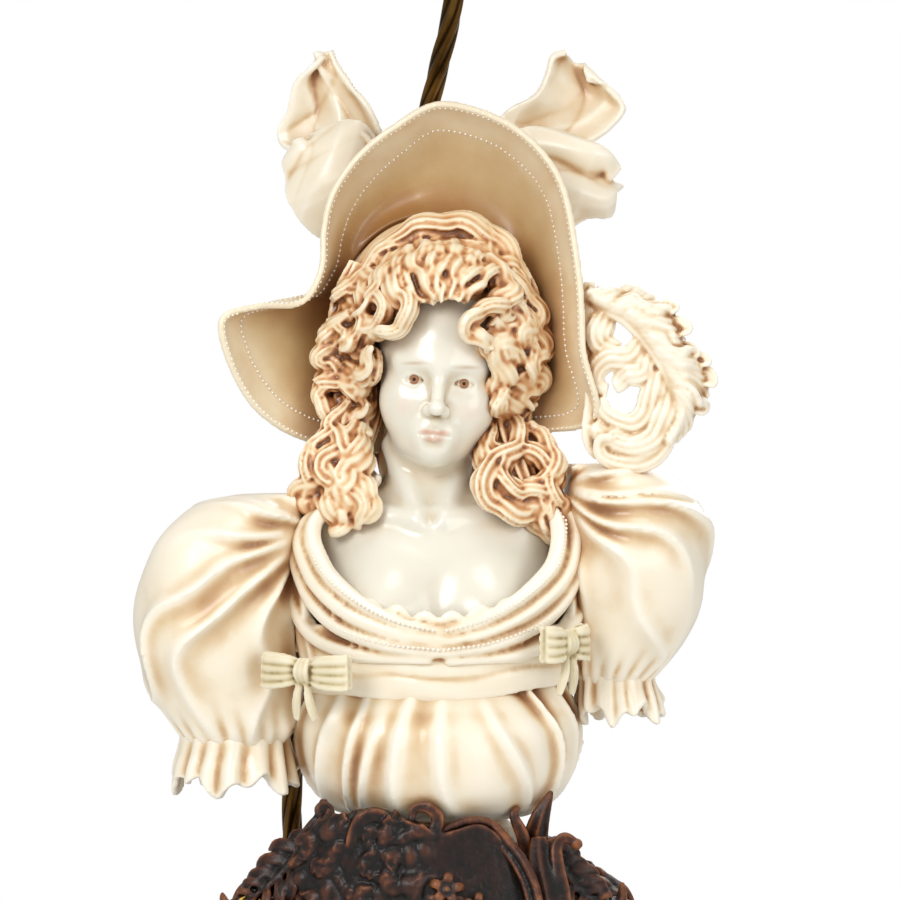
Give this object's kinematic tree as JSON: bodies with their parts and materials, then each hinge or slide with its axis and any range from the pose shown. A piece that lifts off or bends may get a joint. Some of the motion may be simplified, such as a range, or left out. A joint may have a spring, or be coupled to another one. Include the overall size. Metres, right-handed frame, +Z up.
{
  "type": "figural table lamp",
  "caption": "Porcelain bust of a lady in a wide hat on a carved wooden base, with a rope-twist brass arm, a two-light pull-chain cluster and a stiffened cloth shade.",
  "frame": {"origin": "centre of the base's footprint, on the table", "axes": "+Z up, the figure faces -Y, +X to the viewer's right"},
  "size_m": [0.4375, 0.3772, 1.1741],
  "materials": {
    "walnut": "carved hardwood, dark stain and wax, worn on the high points",
    "steel": "black lacquered sheet steel",
    "felt": "wool felt",
    "porcelain_ivory": "opaque glazed porcelain, ivory with tan shading in the folds",
    "porcelain_skin": "opaque glazed porcelain, pale skin",
    "porcelain_hair": "opaque glazed porcelain, ivory with orange-tan in the grooves",
    "porcelain_bows": "opaque matt porcelain, greyish cream",
    "antique_brass": "dark patinated brass, rubbed bright on the ridges",
    "bright_brass": "plain brass",
    "insulator": "moulded phenolic",
    "wire_cover": "insulated twin wire",
    "opal_glass": "white opal glass",
    "shade_cloth": "stiffened shantung cloth",
    "shade_braid": "woven braid"
  },
  "bodies": {
    "lamp": {"base_body": "walnut", "base_plinth": "walnut", "scroll_feet": "walnut", "wing_left": "walnut", "wing_right": "walnut", "volutes": "walnut", "cartouche_frame": "walnut", "crest_left": "walnut", "crest_leaf": "walnut", "crest_right": "walnut", "bottom_plate": "steel", "plate_screws": "steel", "felt_pads": "felt", "socle": "porcelain_ivory", "torso": "porcelain_ivory", "gathered_bodice": "porcelain_ivory", "sash": "porcelain_ivory", "neckline_drape": "porcelain_ivory", "sleeve_left": "porcelain_ivory", "sleeve_right": "porcelain_ivory", "cuff_left": "porcelain_ivory", "cuff_right": "porcelain_ivory", "hat_brim": "porcelain_ivory", "hat_crown": "porcelain_ivory", "hat_band": "porcelain_ivory", "hat_bow_left": "porcelain_ivory", "hat_bow_right": "porcelain_ivory", "plume": "porcelain_ivory", "head_and_neck": "porcelain_skin", "hair_top": "porcelain_hair", "hair_left": "porcelain_hair", "hair_right": "porcelain_hair", "hair_back": "porcelain_hair", "dress_bow_left": "porcelain_bows", "dress_bow_right": "porcelain_bows", "arm_tube": "antique_brass", "arm_flange": "antique_brass", "arm_nut": "antique_brass", "brass_curls": "antique_brass", "arm_coupling": "antique_brass", "cluster_body": "antique_brass", "socket_caps": "antique_brass", "socket_shells": "antique_brass", "chain_guides": "antique_brass", "riser": "antique_brass", "finial": "antique_brass", "screw_shells": "antique_brass", "socket_liners": "insulator", "socket_cores": "insulator", "wire_bushes": "insulator", "cord_inlet_bush": "insulator", "lamp_wire": "wire_cover", "bulb_left": "opal_glass", "bulb_right": "opal_glass"},
    "shade": {"shade_shell": "shade_cloth", "shade_spider": "bright_brass", "shade_bottom_ring": "bright_brass", "shade_trims": "shade_braid"},
    "pull_chain_left": {"pull_chain_left": "bright_brass"},
    "pull_chain_right": {"pull_chain_right": "bright_brass"}
  },
  "joints": [
    {"name": "shade_turn", "type": "hinge", "parent": "lamp", "child": "shade", "pos_m": [0.018, 0.07, 1.138], "axis": [0, 0, 1], "continuous": true},
    {"name": "pull_left", "type": "slide", "parent": "lamp", "child": "pull_chain_left", "axis": [0, 0, -1], "range_m": [0, 0.008], "stiffness_N_per_m": 150, "springref_m": -0.004},
    {"name": "pull_right", "type": "slide", "parent": "lamp", "child": "pull_chain_right", "axis": [0, 0, -1], "range_m": [0, 0.008], "stiffness_N_per_m": 150, "springref_m": -0.004}
  ]
}
